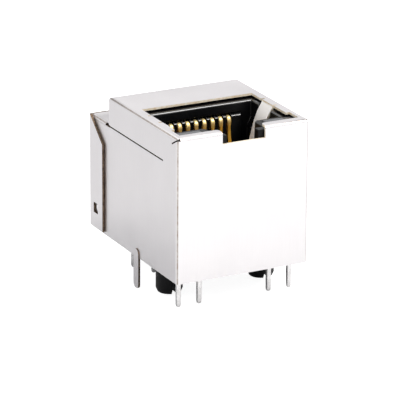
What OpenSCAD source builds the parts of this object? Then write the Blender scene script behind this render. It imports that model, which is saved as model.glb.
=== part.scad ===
// Top-entry shielded modular jack with built-in magnetics, millimetres.
// X runs across the jack, Y from its latch side to its rear bay, Z up from the board.
// The origin is on the board's surface, midway between the two locating pegs.

/* [Shield] */
// Width across the shield's side walls
shield_w = 16.1; // [15.8:0.1:18]
// Depth of the tall box round the port
port_d = 16.8; // [16:0.1:19]
// Depth of the low bay behind the tall box
bay_d = 4.65; // [4.5:0.05:8]
// Height of the tall box above the shield's lower edge
shield_h = 16.55; // [16:0.05:18]
// Height of the low bay above the shield's lower edge
bay_h = 13.35; // [11:0.05:14]
// Gap between the board and the shield's lower edge
standoff_h = 0.15; // [0.1:0.05:0.6]
// Thickness of the shield's sheet
sheet_t = 0.25; // [0.2:0.01:0.3]
// Outer radius of the sheet's bends
bend_r = 0.4; // [0.35:0.05:0.6]
// Depth of the top's front lip
lip_d = 1.1; // [0.8:0.05:1.2]
// Width of the latch notch in the front wall
notch_w = 5.2; // [4.6:0.1:5.8]
// Drop of the latch notch below the top
notch_drop = 1.35; // [0.8:0.05:2]
// Width of the slit along each side wall
slit_w = 0.16; // [0.1:0.02:0.3]
// Distance from the front wall to the front end of the side slits
slit_setback = 3.4; // [2.5:0.1:6]

/* [Rear cover] */
// Length of the rear cover's side flaps
flap_l = 3.5; // [3:0.05:4.5]
// Height of the slanted corner of each side flap
flap_slant_h = 2.7; // [1:0.1:4]
// Width of the latch window in each side flap
window_w = 1.1; // [0.8:0.05:1.4]
// Height of the latch window in each side flap
window_h = 1.2; // [0.8:0.05:2]

/* [Spring fingers] */
// Width of the spring finger on each side of the port
finger_w = 2.4; // [1.8:0.1:2.8]
// Distance from the front wall to the middle of each finger
finger_setback = 7.4; // [6.5:0.1:8]

/* [Tails] */
// Width of the solder tail under each side wall
tail_w = 1.2; // [0.8:0.05:1.6]
// Length of the solder tails below the board's surface
tail_l = 3.5; // [2.5:0.1:4.5]
// Distance from the peg line back to the solder tails
tail_setback = 3.35; // [2.6:0.05:4.4]

/* [Port] */
// Width between the guides that centre the plug
guide_w = 11.9; // [11.8:0.05:12.1]
// Width of the port above the guides
mouth_w = 12.8; // [12.5:0.1:13]
// Size of the plug space from its latch side to its contact side
cavity_d = 6.75; // [6.7:0.05:7]
// Depth of the plug space below the housing's top
cavity_h = 14; // [13:0.1:14.2]
// Width of the slot that the plug's latch enters
latch_w = 5.9; // [5.6:0.1:6.2]
// Size of the latch slot in front of the plug space
latch_d = 2.4; // [2.2:0.05:2.6]
// Width of the narrow channel for the latch's finger tab
channel_w = 3.8; // [3.4:0.1:4.2]
// Height of the two stops that the latch catches under
stop_h = 1.9; // [1.4:0.1:2.4]
// Chamfer round the port's mouth
mouth_chamfer = 0.25; // [0.1:0.05:0.3]

/* [Contacts] */
// Distance between neighbouring contacts
contact_pitch = 1.016; // [1:0.004:1.03]
// Width of each contact
contact_w = 0.46; // [0.35:0.01:0.5]
// Thickness of each contact
contact_t = 0.28; // [0.2:0.01:0.32]
// Drop of the comb below the housing's top
comb_drop = 1.25; // [1:0.05:2]

/* [Light emitters] */
// Width of each light emitter
led_w = 3.5; // [3.2:0.05:3.6]
// Size of each light emitter from front to back
led_d = 1.95; // [1.6:0.05:2]
// Height of each light emitter
led_h = 5; // [3:0.1:7]
// Housing wall between each light emitter and the shield's side
led_wall = 0.375; // [0.3:0.005:0.5]
// Distance between the two leads of a light emitter
lead_pitch = 2.54; // [2.4:0.01:2.6]

/* [Board side] */
// Diameter of the locating pegs
peg_dia = 3; // [2.8:0.05:3.4]
// Distance from each peg to the housing's side
peg_inset = 0.485; // [0.2:0.005:0.6]
// Length of the locating pegs below the board's surface
peg_l = 3.05; // [2.5:0.05:4]
// Width of the slit that lets each peg snap in
peg_slit = 0.6; // [0.4:0.05:0.9]
// Distance from the front wall back to the peg line
peg_setback = 6.45; // [6.2:0.05:6.8]
// Side of the square pins and leads
pin_w = 0.48; // [0.4:0.01:0.55]
// Length of the pins and leads below the board's surface
pin_l = 3.25; // [2.2:0.05:4]
// Distance between neighbouring pins of a row
pin_pitch = 2.54; // [2.4:0.01:2.6]
// Distance between the two pin rows
row_pitch = 2.54; // [2.4:0.01:2.7]
// Distance from the peg line back to the first pin row
row_setback = 6.35; // [6.3:0.01:6.6]

/* [Magnetics] */
// Thickness of the circuit board inside
board_t = 0.8; // [0.6:0.05:1]
// Outer diameter of the transformer cores
transformer_dia = 3.2; // [2.8:0.1:3.4]
// Outer diameter of the choke cores
choke_dia = 2.5; // [2.2:0.1:2.8]
// Diameter of the winding wire
wire_dia = 0.2; // [0.12:0.02:0.24]

/* [Hidden] */
CONTACTS = 8;
ROW_PINS = 5;
RESISTORS = 4;

$fn = 48;
// Overshoot of a cut past the face it opens
past = 1;
// Clearance between pieces that slide into each other
fit = 0.05;

// Shield planes
front_y = -peg_setback;
step_y = front_y + port_d;
back_y = step_y + bay_d;
shield_bottom = standoff_h;
shield_top = shield_bottom + shield_h;
bay_top = shield_bottom + bay_h;
side_x = shield_w / 2;

// Housing planes
wall_gap = 0.1;
roof_gap = 0.25;
floor_z = 0.2;
housing_x = side_x - sheet_t - wall_gap;
housing_front = front_y + sheet_t + wall_gap;
housing_top = shield_top - sheet_t - roof_gap;
channel_d = 0.95;
recess_h = 7.5;
latch_front = housing_front + channel_d;
cavity_front = latch_front + latch_d;
cavity_back = cavity_front + cavity_d;
cavity_floor = housing_top - cavity_h;
rear_wall = 1.45;
housing_back = cavity_back + rear_wall;
mouth_d = 2;
guide_top = housing_top - mouth_d - 0.8;

// Port opening in the shield's top
reveal = 0.15;
back_reveal = 0.4;
opening_w = mouth_w + 2 * (mouth_chamfer + reveal);
opening_back = cavity_back + mouth_chamfer + back_reveal;
opening_front = front_y + lip_d;
corner_relief_w = 0.45;
corner_relief_d = 2.05;

// Spring fingers
finger_y = front_y + finger_setback;
root_slit = 0.25;
root_depth = 0.45;
// Stretches of a finger, from its root to its tip
finger_root_l = 0.1;
finger_bend_l = 0.44;
finger_upper_l = 2.2;
finger_lower_l = 2.5;
finger_heel_l = 0.5;
finger_toe_l = 1.3;
finger_tip_l = 0.8;
pocket_gap = 0.2;
pocket_x = opening_w / 2 + 0.25;
pocket_h = 8.2;
pocket_floor = housing_top - pocket_h;

// Contacts and their comb
comb_top = housing_top - comb_drop;
comb_front = cavity_back - 0.15;
comb_rib_gap = 0.08;
comb_bevel = 0.3;
insert_end = 1.3;
insert_x = contact_pitch * (CONTACTS - 1) / 2 + contact_w / 2 + insert_end;
loop_r = 0.45;
contact_front = comb_front - 0.22;
leg_y = contact_front + contact_t / 2 + 2 * loop_r;
insert_back = housing_back - fit;
contact_top = comb_top - 0.22;
// Stretches of a contact's spring leg, from the loop down
leg_drop_l = 0.9;
leg_bend_l = 1.2;
leg_slope_l = 2.6;
leg_tip_l = 2.2;
head_h = 0.75;
waist_drop = 1.3;
hip_drop = 1.9;
waist_w = 0.62 * contact_w;
leg_w = 0.8 * contact_w;

// Circuit board
board_bottom = cavity_floor + 0.1;
board_top = board_bottom + board_t;
board_x = housing_x - 0.8;
carrier_wall = 0.65;
carrier_front = housing_back + fit;
cover_gap = 0.05;
carrier_back = back_y - sheet_t - wall_gap;
board_back = carrier_back - carrier_wall - fit;
insert_bottom = board_top + fit;

// Light emitters
led_offset = housing_x - led_wall - led_w / 2;
led_y = front_y + 2.05;
led_gap = 0.05;
led_top = housing_top + 0.08;
led_bottom = led_top - led_h;

// Pegs and pins
peg_x = housing_x - peg_inset - peg_dia / 2;
peg_taper_h = 0.45;
peg_taper = 0.2;
peg_root = 0.4;
floor_rib_w = 1.4;
tip_chamfer = 0.12;
row_1_y = row_setback;
row_2_y = row_setback + row_pitch;
foot_w = 0.7;

// Magnetics: two rows of wound rings with equal gaps between the board's ends
board_front = carrier_front + fit;
rings_w = transformer_dia + choke_dia + 4 * wire_dia;
ring_gap = (board_back - board_front - rings_w) / 3;
transformer_y = board_front + ring_gap + wire_dia + transformer_dia / 2;
choke_y = board_back - ring_gap - wire_dia - choke_dia / 2;
magnetics_x = board_x / 2;
chip_l = 1.6;
chip_w = 0.7;
chip_h = 0.45;
chip_step = 0.95;
capacitor_l = 2.6;
capacitor_h = 1.3;

// Straight and curved steps of a bent strip, split into short pieces.
// Each step is [length, turn in degrees].
function short_steps(steps) = [
    for (s = steps)
        let (n = max(1, ceil(abs(s[1]) / 9)))
        for (k = [1:n])
            [s[0] / n, s[1] / n]
];

// Points and headings along the middle of a strip
function strip_line(pieces, p, heading, i = 0) =
    i == len(pieces) ? [[p, heading]] :
    let (
        middle = heading + pieces[i][1] / 2,
        q = p + pieces[i][0] * [cos(middle), sin(middle)]
    )
    concat([[p, heading]], strip_line(pieces, q, heading + pieces[i][1], i + 1));

// Side view of a strip of thickness t that starts at p
module strip(p, heading, steps, t) {
    line = strip_line(short_steps(steps), p, heading);
    one_side = [for (s = line) s[0] + t / 2 * [-sin(s[1]), cos(s[1])]];
    other_side = [for (i = [len(line) - 1:-1:0]) line[i][0] - t / 2 * [-sin(line[i][1]), cos(line[i][1])]];
    polygon(concat(one_side, other_side));
}

// Box between two corners
module block(low, high) {
    translate(low)
        cube(high - low);
}

// Both sides of the jack
module both_sides() {
    children();
    mirror([1, 0, 0])
        children();
}

// Extrusion of a Y-Z outline across the jack, from x0 to x1
module across(x0, x1) {
    translate([x0, 0, 0])
        rotate([90, 0, 90])
            linear_extrude(x1 - x0)
                children();
}

// Extrusion of an X-Z outline from front to back, from y0 to y1
module along(y0, y1) {
    translate([0, y1, 0])
        rotate([90, 0, 0])
            linear_extrude(y1 - y0)
                children();
}

// Rectangle whose two upper corners are rounded
module round_top(low, high, r) {
    translate(low)
        square([high[0] - low[0], high[1] - low[1] - r]);
    translate([low[0] + r, low[1]])
        square([high[0] - low[0] - 2 * r, high[1] - low[1]]);
    for (x = [low[0] + r, high[0] - r])
        translate([x, high[1] - r])
            circle(r);
}

// Tall box with bent edges, set in by the given amount from the shield's outside
module port_box(inset, bottom) {
    r = bend_r - inset;
    x = side_x - inset;
    intersection() {
        along(front_y - past, step_y + past)
            round_top([-x, bottom], [x, shield_top - inset], r);
        across(-side_x - past, side_x + past)
            round_top([front_y + inset, bottom], [step_y - inset, shield_top - inset], r);
        translate([0, 0, bottom])
            linear_extrude(shield_top - bottom)
                mirror([0, 1])
                    round_top([-x, -step_y + inset], [x, -front_y - inset], r);
    }
}

// Low bay with bent side edges, open to the rear
module bay_box(inset, bottom, front, back) {
    x = side_x - inset;
    along(front, back)
        round_top([-x, bottom], [x, bay_top - inset], bend_r - inset);
}

// One spring finger, bent down from the edge of the opening
module finger() {
    along(finger_y - finger_w / 2, finger_y + finger_w / 2)
        strip([opening_w / 2 + root_depth + finger_root_l, shield_top - sheet_t / 2], 180, [
            [finger_root_l, 0],
            [finger_bend_l, 56],
            [finger_upper_l, 16],
            [finger_lower_l, 6],
            [finger_heel_l, 0],
            [finger_toe_l, 40],
            [finger_tip_l, 0]
        ], sheet_t);
}

// Relief slits beside the root of a spring finger
module finger_slits() {
    for (y = [finger_y - finger_w / 2 - root_slit, finger_y + finger_w / 2])
        block([0, y, shield_top - sheet_t - past],
            [opening_w / 2 + root_depth, y + root_slit, shield_top + past]);
}

// Plan of the port opening, with the wider reliefs behind the front lip
module opening_plan() {
    translate([-opening_w / 2, opening_front])
        square([opening_w, opening_back - opening_front]);
    translate([-opening_w / 2 - corner_relief_w, opening_front])
        square([opening_w + 2 * corner_relief_w, corner_relief_d]);
}

// Plan of the latch notch through the front lip, with rounded lip ends
module notch_plan() {
    lip_r = 0.45;
    translate([-notch_w / 2, front_y - past])
        square([notch_w, lip_d + 2 * past]);
    for (s = [-1, 1])
        difference() {
            translate([s * notch_w / 2 - lip_r, opening_front - lip_r])
                square([2 * lip_r, lip_r + past]);
            translate([s * (notch_w / 2 + lip_r), opening_front - lip_r])
                circle(lip_r);
            translate([s * (notch_w / 2 + 2 * lip_r) - lip_r, front_y])
                square([2 * lip_r, lip_d + past]);
        }
}

// Slit between a side wall and the top's flange, with its wide rear end
module side_slit() {
    z = bay_top - 0.1;
    wide_l = 1.2;
    end_y = step_y + 0.9;
    block([side_x - 2 * bend_r, front_y + slit_setback, z - slit_w],
        [side_x + past, end_y, z]);
    block([side_x - 2 * bend_r, end_y - wide_l, z - 1.3 * slit_w],
        [side_x + past, end_y, z + 0.3 * slit_w]);
}

// Small slanted relief, with a round end, where front wall, side wall and top meet
module corner_relief() {
    relief_l = 1.35;
    end_d = 0.3;
    translate([side_x - sheet_t - 0.15, front_y + 1.3, shield_top - 0.87])
        rotate([150, 0, 0]) {
            translate([0, 0, -slit_w / 2])
                cube([past, relief_l, slit_w]);
            translate([0, relief_l, 0])
                rotate([0, 90, 0])
                    cylinder(h = past, d = end_d);
        }
}

// Solder tail pushed a little out of the side wall
module tail() {
    push = 0.12;
    x = side_x + push;
    root_z = shield_bottom + 1;
    tip_r = tail_w / 2;
    across(x - sheet_t, x) {
        translate([tail_setback - tail_w / 2, -tail_l + tip_r])
            square([tail_w, root_z + tail_l - 2 * tip_r]);
        for (z = [-tail_l + tip_r, root_z - tip_r])
            translate([tail_setback, z])
                circle(tip_r);
    }
}

// Ramp that snaps into the window of the rear cover's flap
module latch_ramp() {
    gap = 0.15;
    rise = 0.22;
    y0 = window_front + gap;
    y1 = window_front + window_w - gap;
    translate([0, 0, window_bottom + gap])
        linear_extrude(window_h - 2 * gap)
            polygon([
                [side_x - sheet_t / 2, y0],
                [side_x + rise, y0],
                [side_x + 0.05, y1],
                [side_x - sheet_t / 2, y1]
            ]);
}

module front_shield() {
    color("gainsboro") {
        difference() {
            union() {
                port_box(0, shield_bottom);
                bay_box(0, shield_bottom, step_y - 2 * bend_r, back_y - sheet_t - cover_gap);
            }
            port_box(sheet_t, shield_bottom - past);
            bay_box(sheet_t, shield_bottom - past, step_y - 3 * bend_r, back_y + past);
            translate([0, 0, shield_top - lip_d])
                linear_extrude(lip_d + past)
                    opening_plan();
            translate([0, 0, shield_top - notch_drop])
                linear_extrude(notch_drop + past)
                    notch_plan();
            both_sides() {
                finger_slits();
                side_slit();
                corner_relief();
            }
        }
        both_sides() {
            finger();
            tail();
            latch_ramp();
        }
    }
}

// Rear cover planes
cover_x = side_x + cover_gap;
cover_bottom = shield_bottom + 0.27;
window_inset = 1.25;
window_rise = 2.05;
window_front = back_y - window_inset - window_w;
window_bottom = shield_bottom + window_rise;

module rear_shield() {
    flap_front = back_y - flap_l;
    color("lightgray")
    difference() {
        translate([0, 0, cover_bottom])
            linear_extrude(bay_top - cover_bottom)
                difference() {
                    round_top([-cover_x - sheet_t, flap_front], [cover_x + sheet_t, back_y], bend_r);
                    round_top([-cover_x, flap_front - past], [cover_x, back_y - sheet_t], bend_r - sheet_t);
                }
        across(-cover_x - past, cover_x + past)
            polygon([
                [flap_front - past, bay_top - flap_slant_h],
                [flap_front, bay_top - flap_slant_h],
                [back_y - bend_r, bay_top],
                [back_y - bend_r, bay_top + past],
                [flap_front - past, bay_top + past]
            ]);
        across(-cover_x - past, cover_x + past)
            translate([window_front, window_bottom])
                square([window_w, window_h]);
    }
}

// Plan of the port: plug space, latch slot and the narrow channel for the tab
module port_plan(w) {
    bevel = 0.6;
    translate([-w / 2, cavity_front])
        square([w, cavity_d]);
    translate([-latch_w / 2, latch_front])
        square([latch_w, latch_d + cavity_d / 2]);
    polygon([
        [-latch_w / 2 - bevel, cavity_front],
        [-latch_w / 2, cavity_front - bevel],
        [latch_w / 2, cavity_front - bevel],
        [latch_w / 2 + bevel, cavity_front]
    ]);
}

// Bevel round the mouth, wider at the top
module mouth_bevel() {
    c = mouth_chamfer;
    intersection() {
        along(cavity_front - c - past, cavity_back + c + past)
            polygon([
                [-mouth_w / 2, housing_top - c],
                [mouth_w / 2, housing_top - c],
                [mouth_w / 2 + c + past, housing_top + past],
                [-mouth_w / 2 - c - past, housing_top + past]
            ]);
        across(-mouth_w, mouth_w)
            polygon([
                [cavity_front, housing_top - c],
                [cavity_back, housing_top - c],
                [cavity_back + c + past, housing_top + past],
                [cavity_front - c - past, housing_top + past]
            ]);
    }
}

// The whole space that a plug and its latch enter
module port_space() {
    translate([0, 0, cavity_floor])
        linear_extrude(cavity_h + past)
            port_plan(guide_w);
    translate([0, 0, housing_top - mouth_d])
        linear_extrude(mouth_d + past)
            port_plan(mouth_w);
    along(cavity_front, cavity_back)
        polygon([
            [-guide_w / 2, guide_top],
            [guide_w / 2, guide_top],
            [mouth_w / 2, housing_top - mouth_d],
            [-mouth_w / 2, housing_top - mouth_d]
        ]);
    mouth_bevel();
    block([-channel_w / 2, housing_front - past, housing_top - stop_h],
        [channel_w / 2, latch_front + past, housing_top + past]);
    block([-latch_w / 2, housing_front + 0.45, housing_top - stop_h - recess_h],
        [latch_w / 2, latch_front + past, housing_top - stop_h]);
}

// Pocket beside the plug space where a spring finger bends back
module finger_pocket() {
    block([guide_w / 2 - past, finger_y - finger_w / 2 - pocket_gap, pocket_floor],
        [pocket_x, finger_y + finger_w / 2 + pocket_gap, housing_top + past]);
}

// Pocket and lead holes of the right light emitter
module led_pocket() {
    x = led_offset;
    block([x - led_w / 2 - led_gap, led_y - led_d / 2 - led_gap, led_bottom - led_gap],
        [x + led_w / 2 + led_gap, led_y + led_d / 2 + led_gap, housing_top + past]);
    for (s = [-1, 1])
        square_hole([led_offset + s * lead_pitch / 2, led_y], led_bottom);
}

// Square hole for a pin, open at the bottom
module square_hole(at, top) {
    w = pin_w + 2 * fit;
    block([at[0] - w / 2, at[1] - w / 2, -past], [at[0] + w / 2, at[1] + w / 2, top]);
}

// Locating peg with a bevelled tip, split so that it can snap into the board
module peg() {
    r = peg_dia / 2;
    difference() {
        union() {
            translate([0, 0, -peg_l + peg_taper_h])
                cylinder(h = peg_l - peg_taper_h + floor_z + past, r = r);
            translate([0, 0, -peg_l])
                cylinder(h = peg_taper_h, r1 = r - peg_taper, r2 = r);
        }
        block([-peg_slit / 2, -peg_dia, -peg_l - past], [peg_slit / 2, peg_dia, -0.4]);
    }
}

// Foot that keeps the shield's edge off the board
module foot(x, y) {
    block([x, y, 0], [x + foot_w, y + foot_w, floor_z + fit]);
}

module port_housing() {
    window_x = insert_x + fit;
    color([0.08, 0.08, 0.09])
    difference() {
        union() {
            block([-housing_x, housing_front, floor_z], [housing_x, housing_back, housing_top]);
            both_sides() {
                translate([peg_x, 0, 0])
                    peg();
                foot(housing_x - foot_w, housing_front);
            }
        }
        port_space();
        both_sides() {
            finger_pocket();
            led_pocket();
        }
        block([-window_x, cavity_back - past, board_bottom - 0.7],
            [window_x, housing_back + past, comb_top + fit]);
        both_sides()
            block([floor_rib_w / 2, cavity_front, -past],
                [peg_x - peg_dia / 2 - peg_root, cavity_back - 1, floor_z + 0.9]);
    }
}

// Places of the contacts across the jack
function contact_x(i) = (i - (CONTACTS + 1) / 2) * contact_pitch;

module contact_insert() {
    groove_w = contact_w + 2 * comb_rib_gap;
    groove_back = leg_y + contact_t / 2 + fit;
    color([0.1, 0.1, 0.11])
    difference() {
        block([-insert_x, comb_front, insert_bottom], [insert_x, insert_back, comb_top]);
        for (i = [1:CONTACTS])
            block([contact_x(i) - groove_w / 2, comb_front - past, insert_bottom - past],
                [contact_x(i) + groove_w / 2, groove_back, comb_top + past]);
        across(-insert_x - past, insert_x + past)
            polygon([
                [comb_front - past, comb_top - comb_bevel],
                [comb_front, comb_top - comb_bevel],
                [comb_front + comb_bevel, comb_top],
                [comb_front + comb_bevel, comb_top + past],
                [comb_front - past, comb_top + past]
            ]);
    }
}

// Spring contact: a leg up the insert, a loop over its comb and a leg into the port
module contact(i) {
    leg_bottom = board_bottom - 0.25;
    loop_z = contact_top - contact_t / 2 - loop_r;
    head_z = contact_top - head_h;
    waist_z = contact_top - waist_drop;
    hip_z = contact_top - hip_drop;
    color("gold")
    translate([contact_x(i), 0, 0])
    intersection() {
        across(-contact_w / 2, contact_w / 2)
            strip([leg_y, leg_bottom], 90, [
                [loop_z - leg_bottom, 0],
                [PI * loop_r, 180],
                [leg_drop_l, 0],
                [leg_bend_l, -14],
                [leg_slope_l, -10],
                [leg_tip_l, 0]
            ], contact_t);
        along(cavity_front, housing_back)
            polygon([
                [-contact_w / 2, contact_top],
                [-contact_w / 2, head_z],
                [-waist_w / 2, waist_z],
                [-leg_w / 2, hip_z],
                [-leg_w / 2, board_bottom - past],
                [leg_w / 2, board_bottom - past],
                [leg_w / 2, hip_z],
                [waist_w / 2, waist_z],
                [contact_w / 2, head_z],
                [contact_w / 2, contact_top]
            ]);
    }
}

module led(side) {
    color([0.8, 0.82, 0.88, 0.7])
        translate([side * led_offset, led_y, led_bottom])
            linear_extrude(led_h)
                square([led_w, led_d], center = true);
}

// Square post with a bevelled lower tip
module post(at, top, bottom) {
    w = pin_w / 2;
    c = tip_chamfer;
    tip = [[-w, bottom + 2 * c], [-w + c, bottom], [w - c, bottom], [w, bottom + 2 * c], [w, top], [-w, top]];
    translate([at[0], at[1], 0])
        intersection() {
            across(-w, w)
                polygon(tip);
            along(-w, w)
                polygon(tip);
        }
}

// Lead of a light emitter, from its underside to below the board
module led_lead(side, end) {
    color("silver")
        post([side * (led_offset + end * lead_pitch / 2), led_y], led_bottom, -pin_l);
}

// Place of a signal pin: pins 1 to 5 are the rear row, 6 to 10 the front row
function pin_at(i) =
    let (
        front_row = i > ROW_PINS,
        k = front_row ? i - ROW_PINS : i,
        shift = (front_row ? 1 : -1) * pin_pitch / 4
    )
    [(k - (ROW_PINS + 1) / 2) * pin_pitch + shift, front_row ? row_1_y : row_2_y];

module signal_pin(i) {
    color("silver")
        post(pin_at(i), board_top, -pin_l);
}

module pin_carrier() {
    wall_top = bay_top - sheet_t - roof_gap;
    color([0.09, 0.09, 0.1])
    difference() {
        union() {
            block([-housing_x, carrier_front, floor_z], [housing_x, carrier_back, wall_top]);
            both_sides()
                foot(housing_x - foot_w, carrier_back - foot_w);
        }
        block([-board_x - fit, carrier_front - past, board_bottom],
            [board_x + fit, board_back + fit, wall_top + past]);
        for (i = [1:2 * ROW_PINS])
            square_hole(pin_at(i), board_top);
        block([-board_x + 0.6, row_2_y + 1.2, -past], [board_x - 0.6, board_back - 0.6, board_bottom - 0.6]);
    }
}

module magnetics_board() {
    tongue_x = insert_x - 0.1;
    tongue_y = cavity_back + 0.15;
    color("seagreen")
    difference() {
        union() {
            block([-board_x, board_front, board_bottom], [board_x, board_back, board_top]);
            block([-tongue_x, tongue_y, board_bottom], [tongue_x, board_front + fit, board_top]);
        }
        for (i = [1:CONTACTS])
            translate([contact_x(i), leg_y, board_bottom - past])
                cylinder(h = board_t + 2 * past, d = contact_w + 0.14);
        for (i = [1:2 * ROW_PINS])
            square_hole(pin_at(i), board_top + past);
    }
}

// Ferrite ring and the size of its section
function ring_h(dia) = 0.6 * dia;
function ring_hole(dia) = 0.46 * dia;

module ring_core(dia, at) {
    color([0.25, 0.25, 0.27])
        translate([at[0], at[1], board_top + wire_dia + fit])
            difference() {
                cylinder(h = ring_h(dia), d = dia);
                translate([0, 0, -past])
                    cylinder(h = ring_h(dia) + 2 * past, d = ring_hole(dia));
            }
}

// Winding: square turns of wire side by side round the ring
module ring_winding(dia, at, turns, tint) {
    out_r = dia / 2;
    in_r = ring_hole(dia) / 2;
    h = ring_h(dia);
    color(tint)
        translate([at[0], at[1], board_top + wire_dia + fit])
            for (k = [0:turns - 1])
                rotate(k * 360 / turns)
                    along(-wire_dia / 2, wire_dia / 2)
                        difference() {
                            translate([in_r - wire_dia, -wire_dia])
                                square([out_r - in_r + 2 * wire_dia, h + 2 * wire_dia]);
                            translate([in_r - 0.02, -0.02])
                                square([out_r - in_r + 0.04, h + 0.04]);
                        }
}

module chip(at, size, tint) {
    color(tint)
        translate([at[0], at[1], board_top])
            linear_extrude(size[2])
                square([size[0], size[1]], center = true);
}

front_shield();
rear_shield();
port_housing();
contact_insert();
for (i = [1:CONTACTS])
    contact(i);
led(-1);  // led_left
led(1);  // led_right
led_lead(-1, 1);  // led_left_outer_lead
led_lead(-1, -1);  // led_left_inner_lead
led_lead(1, -1);  // led_right_inner_lead
led_lead(1, 1);  // led_right_outer_lead
pin_carrier();
for (i = [1:2 * ROW_PINS])
    signal_pin(i);
magnetics_board();
ring_core(transformer_dia, [-magnetics_x, transformer_y]);  // transmit_transformer_core
ring_winding(transformer_dia, [-magnetics_x, transformer_y], 16, "firebrick");  // transmit_transformer_winding
ring_core(transformer_dia, [magnetics_x, transformer_y]);  // receive_transformer_core
ring_winding(transformer_dia, [magnetics_x, transformer_y], 16, "seagreen");  // receive_transformer_winding
ring_core(choke_dia, [-magnetics_x, choke_y]);  // transmit_choke_core
ring_winding(choke_dia, [-magnetics_x, choke_y], 10, "firebrick");  // transmit_choke_winding
ring_core(choke_dia, [magnetics_x, choke_y]);  // receive_choke_core
ring_winding(choke_dia, [magnetics_x, choke_y], 10, "seagreen");  // receive_choke_winding
for (i = [1:RESISTORS])
    chip([0, transformer_y + (i - (RESISTORS + 1) / 2) * chip_step], [chip_l, chip_w, chip_h], "dimgray");
chip([0, choke_y], [chip_l, capacitor_l, capacitor_h], "tan");  // isolation_capacitor
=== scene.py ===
# %% [markdown]
# # A top-entry network jack in a nickel-plated shield
#
# This lesson dresses the exact solids of a small board connector. The object is only 22 mm deep,
# so almost everything that tells the eye what it is happens at a tenth of a millimetre: the brass
# that shows where the plated sheet was cut, the worn line along each bend, the rounded gold
# springs inside the port. Each step first says what the real piece is, then how it is made here.

# %% Load the solids as a fixed frame
import math
import bpy
import bmesh
import numpy as np
from mathutils import Matrix, Vector


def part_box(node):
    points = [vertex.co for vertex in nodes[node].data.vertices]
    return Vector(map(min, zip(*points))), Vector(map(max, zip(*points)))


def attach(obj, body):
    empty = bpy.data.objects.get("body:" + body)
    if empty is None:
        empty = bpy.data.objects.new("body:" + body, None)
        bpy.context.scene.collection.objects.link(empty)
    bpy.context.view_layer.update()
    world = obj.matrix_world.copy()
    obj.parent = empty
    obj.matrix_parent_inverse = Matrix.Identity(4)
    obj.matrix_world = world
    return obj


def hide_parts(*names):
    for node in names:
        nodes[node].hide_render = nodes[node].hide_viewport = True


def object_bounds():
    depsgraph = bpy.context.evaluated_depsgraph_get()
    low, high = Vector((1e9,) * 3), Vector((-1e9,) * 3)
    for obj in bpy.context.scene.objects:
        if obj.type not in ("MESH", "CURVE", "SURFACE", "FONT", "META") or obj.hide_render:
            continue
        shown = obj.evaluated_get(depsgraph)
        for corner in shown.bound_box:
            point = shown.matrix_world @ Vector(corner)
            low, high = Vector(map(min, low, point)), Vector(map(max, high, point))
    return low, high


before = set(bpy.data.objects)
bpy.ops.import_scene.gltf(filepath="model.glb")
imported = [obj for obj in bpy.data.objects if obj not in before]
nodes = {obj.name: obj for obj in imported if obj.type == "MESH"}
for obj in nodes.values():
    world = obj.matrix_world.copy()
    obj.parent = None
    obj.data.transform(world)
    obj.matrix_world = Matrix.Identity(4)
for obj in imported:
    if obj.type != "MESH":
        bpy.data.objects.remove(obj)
cad_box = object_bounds()
scene = bpy.context.scene
MM = 0.001
low, high = [np.array(corner) for corner in cad_box]
print("nodes:", len(nodes), "box in mm:", np.round(low / MM, 2), np.round(high / MM, 2))

# %% [markdown]
# ## The camera
#
# A small product is usually shot from some distance with a long lens, so that its parallel edges
# stay nearly parallel. The camera stands to the front left, looks down by about nineteen degrees,
# and aims a little left of and in front of the middle of the object's box.

# %% Aim the camera
turn, tilt, roll = np.radians([27.375, 19.323, 0.359])
camera_distance, focal_length, sensor_width = 351.87, 287.1, 36
aim = (low + high) / 2 + np.array([-1.22, -2.845, -0.25]) * MM

back = np.array([-math.sin(turn) * math.cos(tilt), -math.cos(turn) * math.cos(tilt), math.sin(tilt)])
level_right = np.array([math.cos(turn), -math.sin(turn), 0])
level_up = np.cross(back, level_right)
right = level_right * math.cos(roll) + level_up * math.sin(roll)
up = level_up * math.cos(roll) - level_right * math.sin(roll)
eye = aim + back * camera_distance * MM

camera = bpy.data.objects.new("camera", bpy.data.cameras.new("camera"))
camera_rows = [[*axis, place] for axis, place in zip(np.stack([right, up, back], 1), eye)]
camera.matrix_world = Matrix(camera_rows + [[0, 0, 0, 1]])
camera.data.lens = focal_length
camera.data.sensor_width = sensor_width
camera.data.clip_start = 0.01
scene.collection.objects.link(camera)
scene.camera = camera
scene.view_settings.view_transform = "Standard"
print("camera at, in mm:", np.round(eye / MM, 1))

# %% [markdown]
# ## Helpers for meshes
#
# Every new piece is a surface over two parameters: stations along a path, and points round a
# section. The points come out of numpy as one array, and the faces join neighbours of the grid.
# Shapes are worked out in millimetres and become metres at the end. A piece is put at the origin
# with its place in its mesh, rides on the one body, and hides the solid that it stands for.

# %% A piece made from arrays
sharp_turn = math.radians(50)


def box_in_mm(node):
    """The lowest and highest corners of a solid's box, in millimetres."""
    return [np.array(corner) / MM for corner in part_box(node)]


def put_in_scene(name, mesh, replaced):
    """An object at the origin, with the bookkeeping that every finished piece needs."""
    piece = bpy.data.objects.new(name, mesh)
    scene.collection.objects.link(piece)
    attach(piece, "root")
    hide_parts(*replaced)
    return piece


def give_finishes(mesh, finishes, finish_of_face):
    """Smooth faces, and the finish that each face takes, as a number in the list of finishes."""
    for finish in finishes:
        mesh.materials.append(finish)
    mesh.polygons.foreach_set("use_smooth", np.ones(len(mesh.polygons), bool))
    mesh.polygons.foreach_set("material_index", finish_of_face.astype(np.int32))


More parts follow.
